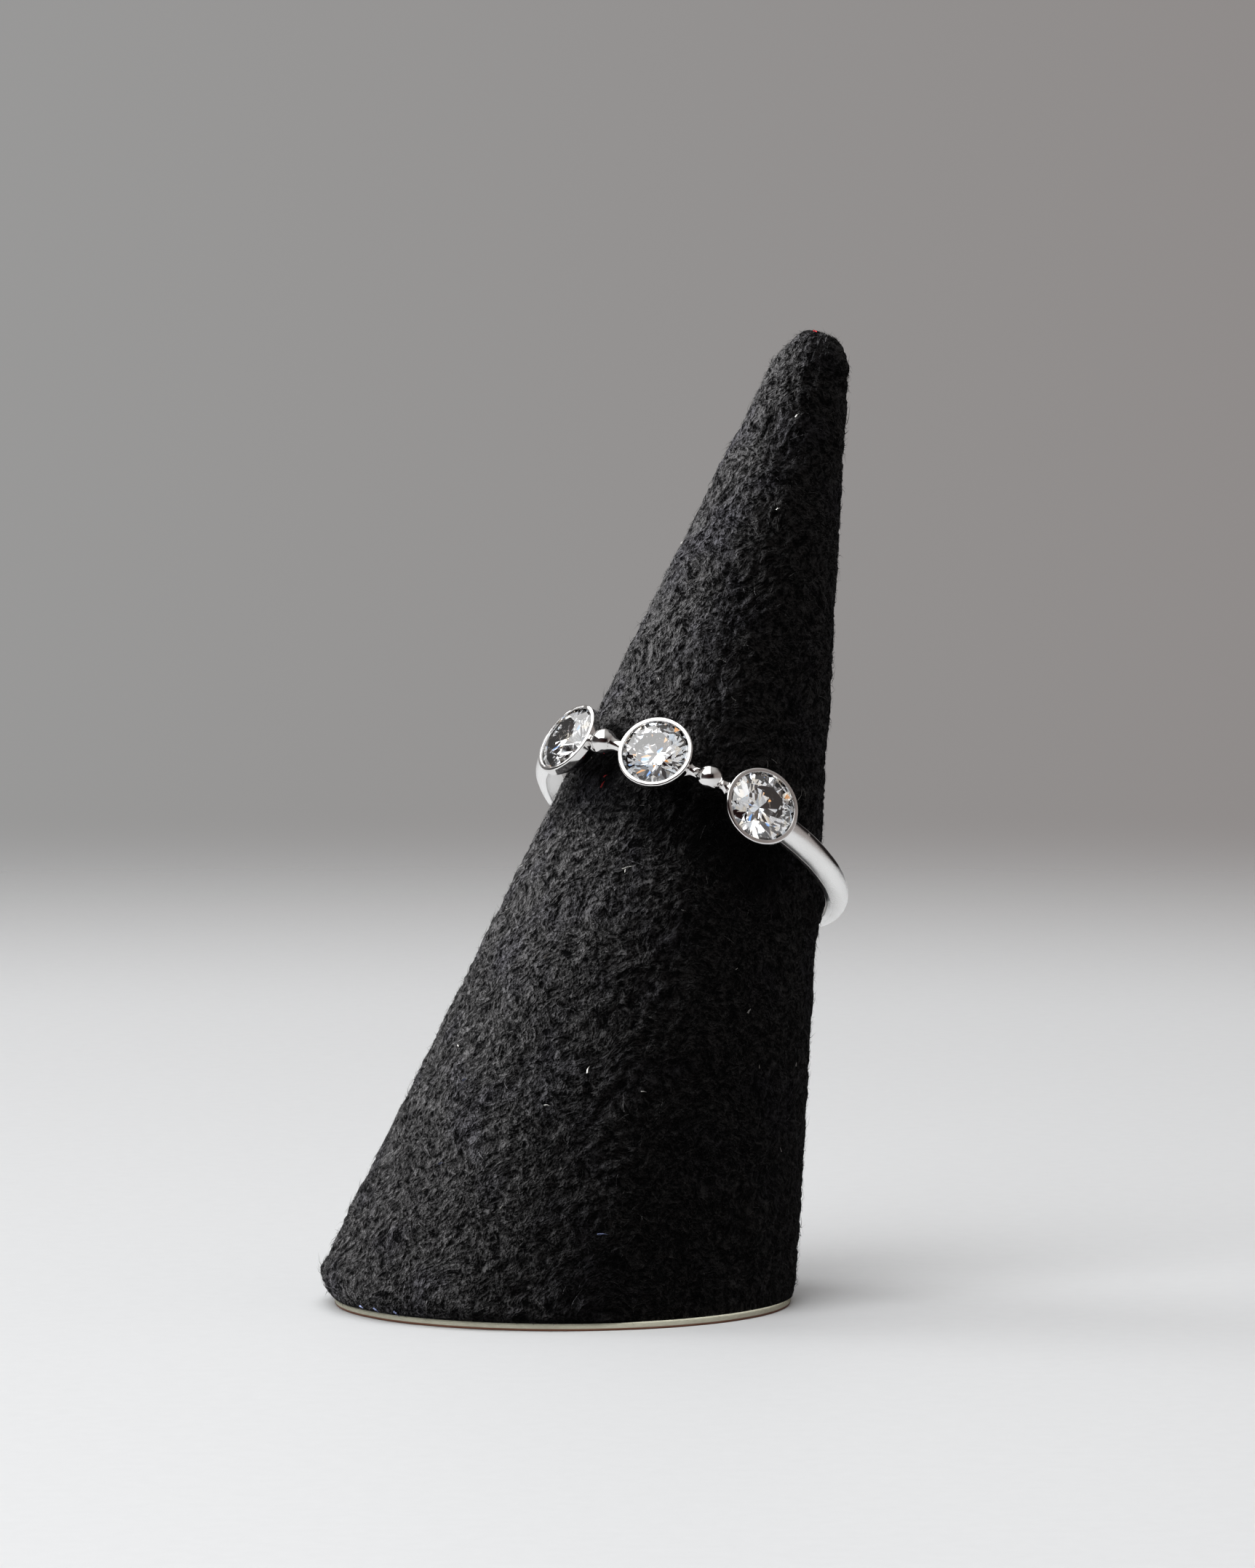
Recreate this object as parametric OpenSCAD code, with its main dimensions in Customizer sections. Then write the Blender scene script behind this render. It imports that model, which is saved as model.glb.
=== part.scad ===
/* [Band] */
// Inside diameter of the band; a smaller ring sits higher on the cone
finger_d = 17.4; // [16.4:0.1:18.4]
// Width of the band along the finger
band_w = 1.58; // [1.3:0.02:2]
// Thickness of the band at the top of its dome
band_t = 0.95; // [0.85:0.05:1.2]
// Height of the band's flat side wall, below its dome
band_side = 0.35; // [0.25:0.05:0.5]

/* [Settings] */
// Turn from the middle bezel to a side bezel, around the finger
side_turn = 38.2; // [37.8:0.1:39]
// Middle bezel's rim above the inside of the band
centre_rise = 1.7; // [1.6:0.05:1.8]
// Side bezel's rim above the inside of the band
side_rise = 1.35; // [1.35:0.05:1.5]
// Outside diameter of the middle bezel's rim
centre_rim_d = 4.24; // [4.2:0.02:4.4]
// Outside diameter of a side bezel's rim
side_rim_d = 4.4; // [4.3:0.02:4.5]
// Lean of the right bezel along the finger, as it was set
right_lean = 7; // [0:1:10]
// Outside diameter of a bezel's foot
foot_d = 2.9; // [2.8:0.1:3.1]
// Diameter of the bead between two bezels
bead_d = 1.42; // [1.3:0.02:1.5]
// Middle of a bead above the inside of the band
bead_rise = 1.15; // [1:0.05:1.3]
// Thinnest part of the neck beside a bead
neck_d = 0.56; // [0.5:0.02:0.7]

/* [Stones] */
// Diameter of the middle stone at its girdle
centre_stone_d = 3.86; // [3.84:0.02:3.9]
// Diameter of a side stone at its girdle
side_stone_d = 4; // [3.96:0.02:4.02]
// Slope of the crown's main facets, from girdle to table
crown_angle = 31; // [28:1:32]
// Slope of the pavilion's main facets, from girdle to point
pavilion_angle = 40; // [38:0.5:40.5]

/* [Stand] */
// Radius of the cone across its axis, where the axis meets the table
cone_r = 13.15; // [13.1:0.05:13.2]
// Angle between the cone's axis and its side
cone_slope = 11.4; // [11.3:0.1:11.8]
// Length of the axis from the table to the middle of the round tip
cone_len = 54.6; // [52:0.1:56]
// Lean of the axis away from upright
lean = 17.6; // [17.5:0.1:17.7]
// Direction of the lean, turned from the right towards the back
lean_turn = 31.9; // [31.5:0.1:32.3]
// Diameter of the base card
card_d = 25.5; // [25:0.1:26]
// Thickness of the base card
card_t = 0.42; // [0.3:0.02:0.6]
// Diameter of the cone's foot, where the suede turns under to the card
foot_edge_d = 25.7; // [25.6:0.1:26]
// Diameter of the cone's foot above its rolled edge
foot_bulge_d = 26.9; // [26.6:0.1:27.2]

/* [Ring on the stand] */
// Middle of a 17.4 mm ring, to the right of the card's middle
ring_x = 7.24; // [7.2:0.01:7.3]
// Middle of a 17.4 mm ring, behind the card's middle
ring_y = 5.63; // [5.6:0.01:5.66]
// Middle of a 17.4 mm ring, above the table
ring_z = 25.92; // [25.9:0.01:25.95]
// Tip of the ring, far side down
tip_back = -22.2; // [-22.3:0.1:-22.1]
// Tip of the ring, right side down
tip_right = 27.4; // [27.3:0.1:27.5]
// Turn of the ring round the finger
ring_turn = -24; // [-24.2:0.1:-23.8]

/* [Hidden] */
$fn = 96;

finger_r = finger_d / 2;
foot_r = foot_d / 2;
bead_r = bead_d / 2;

// Bezel: clearance round the stone, thickness of the lip over it, rounding of the rim
fit = 0.03;
lip_over = 0.06;
lip_bevel = 0.08;
rim_round = 0.12;
// How far the parts of a bezel and its stone lie below the rim
lip_drop = 0.12;
girdle_drop = 0.2;
girdle_t = 0.04;
wall_drop = 0.5;
seat_top = girdle_drop + girdle_t + 0.05;
// The open well under a stone, and the foot's height above the inside of the band
well_r = 1.1;
foot_lift = 0.05;
// Against the whole stone: its table, where its stars end, and where its lower halves end
table_part = 0.56;
star_part = 0.79;
half_part = 0.24;

// Each bezel: turn round the finger, rise of its rim, rim's radius, stone's radius, lean
CENTRE = [0, centre_rise, centre_rim_d / 2, centre_stone_d / 2, 0];
RIGHT = [side_turn, side_rise, side_rim_d / 2, side_stone_d / 2, right_lean];
LEFT = [-side_turn, side_rise, side_rim_d / 2, side_stone_d / 2, 0];
TURN = 0;
RISE = 1;
RIM_R = 2;
STONE_R = 3;
LEAN = 4;

// Beads stand a little past halfway to the side bezels, and both a little to the left
bead_turn = side_turn / 2 + 0.7;
bead_shift = -0.8;
// The necks meet the bezels this far below the rims, and flare to a root that is sunk at each end
centre_neck_drop = 0.9;
side_neck_drop = 0.62;
neck_flare = 0.2;
neck_root = 0.4;
// The band starts within the side bezel's hollow, which cuts its end clean
shoulder_turn = side_turn + 3;

// Ball of the tip, which the cone's side runs into smoothly
tip_r = (cone_r - cone_len * tan(cone_slope)) * cos(cone_slope);
// Length of the whole cone below the table, before it is cut
cone_foot = 12;
// The axis meets the table this far behind the card's middle, and leans this way
axis_back = 0.6;
axis_way = [sin(lean) * cos(lean_turn), sin(lean) * sin(lean_turn), cos(lean)];
// A ring of another size slides up or down the axis until it fits the cone as well
slide = (17.4 - finger_d) / 2 / tan(cone_slope);
// Rolled edge of the foot: radius of the roll, and the height where it ends
roll_r = 2.4;
roll_in = (foot_bulge_d - foot_edge_d) / 2;
roll_top = card_t + sqrt(2 * roll_r * roll_in - roll_in * roll_in);
room = 80;

// A point on the finger's circle, at a turn from the middle bezel and a distance out
function around(turn, out) = [out * sin(turn), -out * cos(turn), 0];

// A ring of n points, the first at the given turn
function ring_of(n, r, z, turn = 0) = [
    for (i = [0:n - 1]) [r * cos(turn + i * 360 / n), r * sin(turn + i * 360 / n), z]
];

module ring_place() {
    translate([ring_x, ring_y, ring_z] + slide * axis_way)
        rotate([0, tip_right, 0])
            rotate([tip_back, 0, 0])
                rotate([0, 0, ring_turn])
                    children();
}

// Depth of a bezel's foot below its rim: a leaning foot stays out of the finger hole
function foot_depth(bezel) = bezel[RISE] - foot_lift - foot_r * sin(bezel[LEAN]);

// Children are drawn with +Z out of the finger, Z = 0 at the rim and +X along the finger,
// which keeps the seam of a cup's wall clear of the band and the necks
module bezel_place(bezel) {
    translate(around(bezel[TURN], finger_r + bezel[RISE]))
        rotate([0, 0, bezel[TURN]])
            rotate([90 - bezel[LEAN], 0, 0])
                rotate([0, 0, 90])
                    children();
}

// The band's cross section: flat inside, domed outside
module band_section() {
    rise = band_t - band_side;
    dome = (band_w * band_w / 4 + rise * rise) / (2 * rise);
    intersection() {
        translate([finger_r, -band_w / 2]) square([2 * band_t, band_w]);
        translate([finger_r + band_t - dome, 0]) circle(r = dome);
    }
}

// The shank: round the finger from the right bezel to the left one, the long way
module shank() {
    rotate([0, 0, shoulder_turn - 90])
        rotate_extrude(angle = 360 - 2 * shoulder_turn)
            band_section();
}

// Outline of the space inside a bezel, from under its lip to the well
function inner_outline(bezel) = [
    [bezel[STONE_R] - lip_over, -lip_drop],
    [bezel[STONE_R] + fit, -lip_drop - fit],
    [bezel[STONE_R] + fit, -seat_top],
    [well_r, -seat_top - (bezel[STONE_R] + fit - well_r) * tan(pavilion_angle)]
];

// A bezel cup, solid, with its rounded rim and its taper to the foot
module cup(bezel) {
    foot = foot_depth(bezel);
    rotate_extrude() {
        polygon([
            [0, 0],
            [bezel[RIM_R] - rim_round, 0],
            [bezel[RIM_R], -rim_round],
            [bezel[RIM_R], -wall_drop],
            [foot_r, -foot],
            [0, -foot]
        ]);
        translate([bezel[RIM_R] - rim_round, -rim_round]) circle(r = rim_round, $fn = 32);
    }
}

// What is cut out of a cup for its stone, with the open well right through
module cup_hollow(bezel) {
    above = 1;
    below = bezel[RISE] + 2;
    mouth = bezel[STONE_R] - lip_over + lip_bevel;
    rotate_extrude()
        polygon(concat(
            [[0, above], [mouth, above], [mouth, 0]],
            inner_outline(bezel),
            [[well_r, -below], [0, -below]]
        ));
}

// A round-waisted bar of length len along +Z, with a plain root at each end
module neck(len) {
    sweep = (len * len / 4 + neck_flare * neck_flare) / (2 * neck_flare);
    rotate_extrude() {
        difference() {
            translate([0, -neck_root]) square([neck_d / 2 + neck_flare, len + 2 * neck_root]);
            translate([neck_d / 2 + sweep, len / 2]) circle(r = sweep, $fn = 128);
        }
    }
}

// From inside a bead, a neck to the outside of a bezel and on into its wall
module bead_neck(bead, bezel, drop) {
    way = around(bezel[TURN], finger_r + bezel[RISE] - drop) - bead;
    taper = (bezel[RIM_R] - foot_r) / (foot_depth(bezel) - wall_drop);
    wall = norm(way) - bezel[RIM_R] + taper * max(0, drop - wall_drop);
    start = bead_r * 0.66;
    translate(bead)
        rotate([0, 0, atan2(way.y, way.x)])
            rotate([0, 90, 0])
                translate([0, 0, start])
                    neck(wall - start);
}

// The bead between the middle bezel and a side bezel, with both its necks
module bead_link(side_bezel) {
    turn = sign(side_bezel[TURN]) * bead_turn + bead_shift;
    bead = around(turn, finger_r + bead_rise);
    // The ball's seam is turned outwards, clear of its necks
    translate(bead) rotate([0, 0, turn - 90]) sphere(r = bead_r);
    bead_neck(bead, CENTRE, centre_neck_drop);
    bead_neck(bead, side_bezel, side_neck_drop);
}

module ring_setting() {
    color("silver") ring_place() difference() {
        union() {
            shank();
            for (bezel = [CENTRE, RIGHT, LEFT]) bezel_place(bezel) cup(bezel);
            for (bezel = [RIGHT, LEFT]) bead_link(bezel);
        }
        for (bezel = [CENTRE, RIGHT, LEFT]) bezel_place(bezel) cup_hollow(bezel);
    }
}

// A round brilliant with its girdle's upper edge at Z = 0
module brilliant(stone_r) {
    table_r = stone_r * table_part;
    star_r = stone_r * star_part;
    table_z = (stone_r - table_r) * tan(crown_angle);
    star_z = (stone_r - star_r * cos(22.5)) * tan(crown_angle);
    half_r = stone_r * half_part;
    half_z = -girdle_t - (stone_r - half_r * cos(22.5)) * tan(pavilion_angle);
    point_z = -girdle_t - stone_r * tan(pavilion_angle);
    // Rows of corners: table 0, star 8, girdle top 16, girdle foot 32, half 48, point 56
    corners = concat(
        ring_of(8, table_r, table_z),
        ring_of(8, star_r, star_z, 22.5),
        ring_of(16, stone_r, 0),
        ring_of(16, stone_r, -girdle_t),
        ring_of(8, half_r, half_z, 22.5),
        [[0, 0, point_z]]
    );
    table = [[7, 6, 5, 4, 3, 2, 1, 0]];
    stars = [for (i = [0:7]) [i, (i + 1) % 8, 8 + i]];
    kites = [for (i = [0:7]) [i, 8 + i, 16 + 2 * i, 8 + (i + 7) % 8]];
    upper = [for (i = [0:7]) each [
        [8 + i, 16 + 2 * i + 1, 16 + 2 * i],
        [8 + i, 16 + (2 * i + 2) % 16, 16 + 2 * i + 1]
    ]];
    girdle = [for (i = [0:15]) [16 + i, 16 + (i + 1) % 16, 32 + (i + 1) % 16, 32 + i]];
    lower = [for (i = [0:7]) each [
        [48 + i, 32 + 2 * i, 32 + 2 * i + 1],
        [48 + i, 32 + 2 * i + 1, 32 + (2 * i + 2) % 16]
    ]];
    mains = [for (i = [0:7]) [56, 48 + (i + 7) % 8, 32 + 2 * i, 48 + i]];
    polyhedron(corners, concat(table, stars, kites, upper, girdle, lower, mains));
}

module set_stone(bezel) {
    color("white") ring_place() bezel_place(bezel)
        translate([0, 0, -girdle_drop]) brilliant(bezel[STONE_R]);
}

module stone_left() { set_stone(LEFT); }
module stone_centre() { set_stone(CENTRE); }
module stone_right() { set_stone(RIGHT); }

// The whole cone on its leaning axis, with its round tip, down through the table
module leaning_cone() {
    foot_out = cone_r + cone_foot * tan(cone_slope);
    tip_out = tip_r * cos(cone_slope);
    side_len = cone_foot + cone_len + tip_r * sin(cone_slope);
    translate([0, axis_back, 0])
        rotate([0, 0, lean_turn])
            rotate([0, lean, 0]) {
                translate([0, 0, -cone_foot]) cylinder(r1 = foot_out, r2 = tip_out, h = side_len);
                translate([0, 0, cone_len]) sphere(r = tip_r);
            }
}

// All that lies above the card and inside the rolled edge of the foot
module foot_form() {
    rotate_extrude() {
        translate([0, card_t]) square([foot_edge_d / 2, roll_top - card_t]);
        intersection() {
            translate([foot_bulge_d / 2 - roll_r, roll_top]) circle(r = roll_r);
            translate([0, card_t]) square([foot_bulge_d / 2, roll_top - card_t]);
        }
        translate([0, roll_top]) square([room, room]);
    }
}

module suede_cone() {
    color("#2b2b2d") intersection() {
        leaning_cone();
        foot_form();
    }
}

module base_card() {
    color("ivory") cylinder(d = card_d, h = card_t);
}

ring_setting();
stone_left();
stone_centre();
stone_right();
suede_cone();
base_card();
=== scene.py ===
import random
from math import asin, atan2, cos, hypot, pi, radians, sin, sqrt, tan

import bmesh
import bpy
import numpy as np
from mathutils import Matrix, Vector, noise
from mathutils.bvhtree import BVHTree


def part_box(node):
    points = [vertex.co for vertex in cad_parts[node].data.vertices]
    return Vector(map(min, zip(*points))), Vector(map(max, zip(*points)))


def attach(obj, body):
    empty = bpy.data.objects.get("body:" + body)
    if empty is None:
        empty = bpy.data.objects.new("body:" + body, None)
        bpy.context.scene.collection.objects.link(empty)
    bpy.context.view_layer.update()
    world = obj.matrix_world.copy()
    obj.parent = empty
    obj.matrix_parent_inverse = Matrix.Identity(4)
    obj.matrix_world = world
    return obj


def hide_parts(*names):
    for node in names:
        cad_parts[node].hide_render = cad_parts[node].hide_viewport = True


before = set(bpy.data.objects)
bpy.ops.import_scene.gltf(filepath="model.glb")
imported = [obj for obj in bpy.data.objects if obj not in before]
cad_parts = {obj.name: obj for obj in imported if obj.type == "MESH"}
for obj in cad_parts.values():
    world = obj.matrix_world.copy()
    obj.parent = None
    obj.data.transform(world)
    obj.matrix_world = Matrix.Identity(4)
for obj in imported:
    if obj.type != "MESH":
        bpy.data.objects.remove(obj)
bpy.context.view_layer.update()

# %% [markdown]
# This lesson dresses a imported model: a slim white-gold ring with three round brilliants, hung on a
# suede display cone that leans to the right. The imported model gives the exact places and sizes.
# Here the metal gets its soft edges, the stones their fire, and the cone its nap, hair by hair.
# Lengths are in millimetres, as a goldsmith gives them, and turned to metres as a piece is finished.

MM = 0.001

# %% [markdown]
# The camera comes first, because some small things are placed by where they show in the photograph.
# A tabletop shot is taken with a long lens from about half a metre, a little above the table, which
# keeps the ring's ellipses calm. The focal length is kept in pixels of the photograph, so the same
# number also turns a pixel into a direction.

# %% Camera
PHOTO_W, PHOTO_H = 1725, 2156
FOCAL_PX = 11115
CAMERA_AT = Vector((3.62, -449.89, 57.35))
CAMERA_DIP = radians(3.6)
SENSOR = 36

camera = bpy.data.objects.new("camera", bpy.data.cameras.new("camera"))
bpy.context.collection.objects.link(camera)
camera.location = CAMERA_AT * MM
camera.rotation_euler = (pi / 2 - CAMERA_DIP, 0, 0)
camera.data.sensor_width = SENSOR
camera.data.lens = SENSOR * FOCAL_PX / PHOTO_H
camera.data.clip_start = 0.02
bpy.context.scene.camera = camera
bpy.context.scene.view_settings.view_transform = "Standard"


def pixel_ray(x, y):
    """Direction from the camera through a pixel of the photograph."""
    ahead = Vector((0, cos(CAMERA_DIP), -sin(CAMERA_DIP)))
    up = Vector((0, sin(CAMERA_DIP), cos(CAMERA_DIP)))
    right = Vector((1, 0, 0))
    across = (x - PHOTO_W / 2) / FOCAL_PX
    down = (y - PHOTO_H / 2) / FOCAL_PX
    return (ahead + right * across - up * down).normalized()


print("lens", round(camera.data.lens, 1), "mm")

# %% [markdown]
# Materials in this lesson are written as sums. A small class holds one output of a node and turns
# Python's own operators into Math nodes, so `1 - mask` or `grain * 0.3 + 0.4` reads as it would on
# paper. Every other node comes from one method, which takes the node's settings first and then the
# values or links of its inputs.

# %% Shader sums
class Wire:
    """One output of a node. Operators on it add Math or Vector Math nodes."""

    def __init__(self, tree, socket):
        self.tree = tree
        self.socket = socket

    def math(self, operation, *others):
        inputs = {0: self, **dict(enumerate(others, 1))}
        return self.tree.node("ShaderNodeMath", {"operation": operation}, inputs)

    def vector_math(self, operation, *others, out=0):
        inputs = {0: self, **dict(enumerate(others, 1))}
        return self.tree.node("ShaderNodeVectorMath", {"operation": operation}, inputs, out)

    def __add__(self, other):
        return self.math("ADD", other)

    def __radd__(self, other):
        return self.math("ADD", other)

    def __sub__(self, other):
        return self.math("SUBTRACT", other)

    def __rsub__(self, other):
        return self.tree.node("ShaderNodeMath", {"operation": "SUBTRACT"}, {0: other, 1: self})

    def __mul__(self, other):
        return self.math("MULTIPLY", other)

    def __rmul__(self, other):
        return self.math("MULTIPLY", other)

    def __truediv__(self, other):
        return self.math("DIVIDE", other)

    def __pow__(self, other):
        return self.math("POWER", other)

    def clamp(self):
        return self.tree.node("ShaderNodeClamp", {}, {0: self})

    def ramp(self, low, high):
        """0 below low, 1 above high and straight between."""
        return ((self - low) / (high - low)).clamp()


class Tree:
    """The node tree of a material or of the world."""

    def __init__(self, owner):
        owner.use_nodes = True
        self.tree = owner.node_tree
        self.tree.nodes.clear()

    def node(self, kind, settings=None, inputs=None, out=0):
        made = self.tree.nodes.new(kind)
        for name, value in (settings or {}).items():
            if name == "stops":
                ramp = made.color_ramp
                while len(ramp.elements) < len(value):
                    ramp.elements.new(0.5)
                for element, (place, colour) in zip(ramp.elements, value):
                    element.position = place
                    element.color = (*colour, 1)
            else:
                setattr(made, name, value)
        for key, value in (inputs or {}).items():
            socket = made.inputs[key]
            if isinstance(value, Wire):
                self.tree.links.new(value.socket, socket)
            else:
                socket.default_value = value
        return Wire(self, made.outputs[out])

    def mix(self, share, first, second):
        """Colour between first and second, by share."""
        named = {"Factor": share, 6: first, 7: second}
        return self.node("ShaderNodeMix", {"data_type": "RGBA"}, named, 2)

    def noise(self, place, scale, detail=2.0, rough=0.5, twist=0.0):
        return self.node("ShaderNodeTexNoise", {}, {
            "Vector": place, "Scale": scale, "Detail": detail, "Roughness": rough, "Distortion": twist,
        })

    def axes(self, vector):
        """The three numbers of a vector."""
        parts = self.node("ShaderNodeSeparateXYZ", {}, {0: vector}).socket.node
        return [Wire(self, parts.outputs[i]) for i in range(3)]

    def millimetres(self):
        """Object coordinates, in millimetres."""
        place = self.node("ShaderNodeTexCoord", {}, {}, 3)
        return place.vector_math("MULTIPLY", (1 / MM,) * 3)

    def finish(self, shader, kind="ShaderNodeOutputMaterial"):
        """Send the shader to the material's or the world's output."""
        self.tree.links.new(shader.socket, self.tree.nodes.new(kind).inputs[0])


def rgb(r, g, b):
    return (r, g, b, 1.0)


print("shader tools ready")

# %% [markdown]
# Light. The beads between the stones are little mirrors that show the whole studio: a large white
# softbox overhead that reaches far to the left, a dark room in front behind the photographer, a
# pinkish grey wall on the right, and the pale table below. The softbox is a wide area light that the
# camera doesn't see, and it mirrors as broad white shapes.

# %% Softbox
SOFTBOX_UP = 450
SOFTBOX_LEFT, SOFTBOX_RIGHT = -700, 28
SOFTBOX_FRONT, SOFTBOX_BACK = -520, 520
SOFTBOX_GLOW = 2.1

softbox_light = bpy.data.lights.new("softbox", "AREA")
softbox_light.shape = "RECTANGLE"
softbox_light.size = (SOFTBOX_RIGHT - SOFTBOX_LEFT) * MM
softbox_light.size_y = (SOFTBOX_BACK - SOFTBOX_FRONT) * MM
softbox_light.energy = SOFTBOX_GLOW * pi * softbox_light.size * softbox_light.size_y
softbox = bpy.data.objects.new("softbox", softbox_light)
softbox_x = (SOFTBOX_LEFT + SOFTBOX_RIGHT) / 2
softbox_y = (SOFTBOX_FRONT + SOFTBOX_BACK) / 2
softbox.location = Vector((softbox_x, softbox_y, SOFTBOX_UP)) * MM
softbox.visible_camera = False
softbox.visible_diffuse = False
bpy.context.collection.objects.link(softbox)
print("softbox power", round(softbox_light.energy, 2), "W")

# %% [markdown]
# What the metal mirrors and what lights the matt surfaces are set apart, as a photographer does with
# flags and grids. The softbox above only shows in mirrors and stones. Three lamps overhead light the
# table and the card, and the table keeps a soft shadow on the right. One on the left and a weak one
# behind on the right are flagged so that they only reach the suede: the cone's left flank is grey, its
# front is dark, and its right flank is nearly black up to a faint edge. A white reflector in front of
# the base lifts the card's edge.

# %% Lamps
LAMPS = {
    "front": {"at": (-160, -260, 420), "size": (360, 500), "glow": 2.9, "lights": "paper"},
    "back left": {"at": (-520, 260, 420), "size": (360, 500), "glow": 2.3, "lights": "paper"},
    "top": {"at": (0, 60, 600), "size": (400, 400), "glow": 1.4, "lights": "paper"},
    "left": {"at": (-540, 90, 230), "size": (450, 450), "glow": 31, "lights": "cloth"},
    "right": {"at": (400, 330, 280), "size": (220, 220), "glow": 3, "lights": "cloth"},
    "reflector": {"at": (-120, -520, 60), "size": (400, 100), "glow": 5, "lights": "card"},
}
LAMPS_AIM = Vector((0, 0, 20))

lit = {group: bpy.data.collections.new(f"lit_{group}") for group in ("paper", "cloth", "card")}
for name, lamp in LAMPS.items():
    light = bpy.data.lights.new(name, "AREA")
    light.shape = "RECTANGLE"
    light.size, light.size_y = (side * MM for side in lamp["size"])
    light.energy = lamp["glow"] * pi * light.size * light.size_y
    made = bpy.data.objects.new(name, light)
    made.location = Vector(lamp["at"]) * MM
    made.rotation_euler = (Vector(lamp["at"]) - LAMPS_AIM).to_track_quat("Z", "Y").to_euler()
    made.visible_camera = made.visible_glossy = made.visible_transmission = False
    made.light_linking.receiver_collection = lit[lamp["lights"]]
    bpy.context.collection.objects.link(made)
    print(name, "lamp", round(light.energy, 2), "W on the", lamp["lights"])

# %% [markdown]
# The rest of the room is the world. Its colour is worked out from the direction in which a ray
# leaves: a ramp goes once round the walls, from behind the ring over the left side, the camera and
# the right side to behind again, and a ceiling is laid over it. Below the horizon the table goes on
# for the mirrors, and it is dark for matt surfaces. The camera itself sees a plain grey backdrop, a
# little darker and warmer to the right. A cut stone gathers every lamp and window of a room, so rays
# that leave a stone find some more bright panes, fewer of them on the left, and a few orange and blue
# ones in place of the fire that a real stone splits off.

# %% The room
WALLS = [
    ("behind", -180, (0.30, 0.29, 0.285)), ("behind left", -140, (0.34, 0.33, 0.325)),
    ("left", -118, (0.045, 0.042, 0.042)), ("front left", -60, (0.060, 0.050, 0.050)),
    ("by the camera", -15, (0.030, 0.014, 0.014)), ("photographer", 8, (0.010, 0.005, 0.005)),
    ("edge of the wall", 28, (0.012, 0.007, 0.007)), ("right wall", 44, (0.27, 0.235, 0.222)),
    ("right wall's end", 108, (0.33, 0.30, 0.29)), ("doorway", 130, (0.016, 0.013, 0.013)),
    ("doorway's end", 158, (0.016, 0.013, 0.013)), ("behind again", 172, (0.30, 0.29, 0.285)),
]
CEILING = rgb(0.46, 0.45, 0.44)
TABLE_TONE = rgb(0.66, 0.66, 0.67)
TABLE_IN_THE_DARK = rgb(0.004, 0.004, 0.004)
UPPER_WALL, UPPER_WALL_SHARE = rgb(0.03, 0.025, 0.025), 0.45
BACKDROP_LEFT, BACKDROP_RIGHT = rgb(0.318, 0.315, 0.313), rgb(0.272, 0.255, 0.250)
PANE_SCALE, PANE_TONE = 2.6, rgb(0.95, 0.95, 0.97)
PANES_LEFT = 0.15
BETWEEN_PANES = (0.6, 0.6, 0.6)
ORANGE_SCALE, ORANGE_FIRE = 6.0, rgb(1.3, 0.66, 0.28)
BLUE_SCALE, BLUE_FIRE = 5.0, rgb(0.35, 0.66, 1.3)

world = bpy.data.worlds.new("studio")
bpy.context.scene.world = world
room = Tree(world)
way = room.node("ShaderNodeTexCoord", {}, {}, 0)
way_x, way_y, way_z = room.axes(way)
turn = way_x.math("ARCTAN2", -1 * way_y) / (2 * pi) + 0.5
stops = [(turned / 360 + 0.5, colour) for _, turned, colour in WALLS]
walls = room.node("ShaderNodeValToRGB", {"stops": stops}, {0: turn})
walls = room.mix(way_z.ramp(0.3, 0.75) * UPPER_WALL_SHARE, walls, UPPER_WALL)
seen = room.mix(way_z.ramp(0.5, 0.93), walls, CEILING)
matt = room.node("ShaderNodeLightPath", {}, {}, "Is Diffuse Ray")
below = room.mix(matt, TABLE_TONE, TABLE_IN_THE_DARK)
seen = room.mix(way_z.ramp(-0.12, 0.04), below, seen)
backdrop = room.mix(way_x.ramp(-0.08, 0.09), BACKDROP_LEFT, BACKDROP_RIGHT)
right_panes = PANES_LEFT + (1 - PANES_LEFT) * way_x.ramp(-0.75, -0.15)
panes = room.noise(way, PANE_SCALE, 1.0).ramp(0.54, 0.60) * right_panes
sparkle = room.mix(panes, seen.vector_math("MULTIPLY", BETWEEN_PANES), PANE_TONE)
sparkle = room.mix(room.noise(way, ORANGE_SCALE, 0.0).ramp(0.745, 0.76), sparkle, ORANGE_FIRE)
sparkle = room.mix(room.noise(way, BLUE_SCALE, 0.0).ramp(0.74, 0.755), sparkle, BLUE_FIRE)
through_stone = room.node("ShaderNodeLightPath", {}, {}, "Is Transmission Ray")
seen = room.mix(through_stone, seen, sparkle)
straight = room.node("ShaderNodeLightPath", {}, {}, "Is Camera Ray")
around = room.mix(straight, seen, backdrop)
room.finish(room.node("ShaderNodeBackground", {}, {"Color": around}), "ShaderNodeOutputWorld")
print("world nodes", len(world.node_tree.nodes))

# %% [markdown]
# The table is a plain pale sheet. In the photograph it melts into the grey wall behind, so the sheet
# is a wide disc whose surface thins out with distance and lets the wall show through.

# %% Table
TABLE_R = 450
FADE_FROM, FADE_TO = 170, 420

table_form = bmesh.new()
bmesh.ops.create_circle(table_form, cap_ends=True, radius=TABLE_R * MM, segments=128)
table_mesh = bpy.data.meshes.new("table")
table_form.to_mesh(table_mesh)
table_form.free()
table = bpy.data.objects.new("table", table_mesh)
bpy.context.collection.objects.link(table)

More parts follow.
